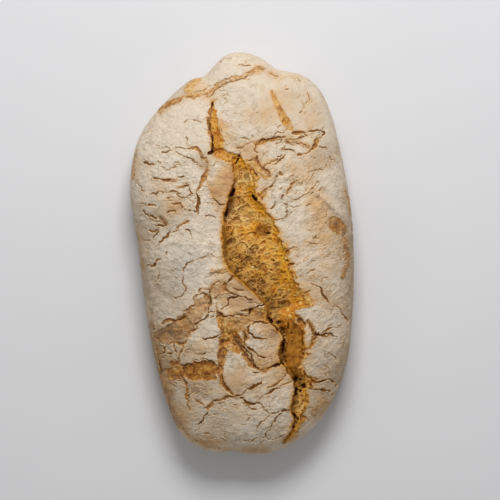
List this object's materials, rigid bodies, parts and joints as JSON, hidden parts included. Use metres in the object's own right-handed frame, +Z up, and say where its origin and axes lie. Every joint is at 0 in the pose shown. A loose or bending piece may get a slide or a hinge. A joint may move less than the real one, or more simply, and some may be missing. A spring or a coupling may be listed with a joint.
{
  "type": "rustic loaf",
  "caption": "Oblong flour-dusted rustic loaf with a tucked end, a long open split showing golden crumb, and a cracked crust.",
  "frame": {"origin": "centre of the loaf's bounding box, on the table under its flat underside", "axes": "+Y along the loaf towards the tucked end, +Z up out of the crust, +X across to the right seen from above with +Y up the page"},
  "size_m": [0.1565, 0.2811, 0.0624],
  "materials": {
    "crust": "floury, matte, golden brown in the cracks",
    "crumb": "open golden crumb"
  },
  "bodies": {
    "root": {"loaf": "crust"}
  },
  "joints": []
}
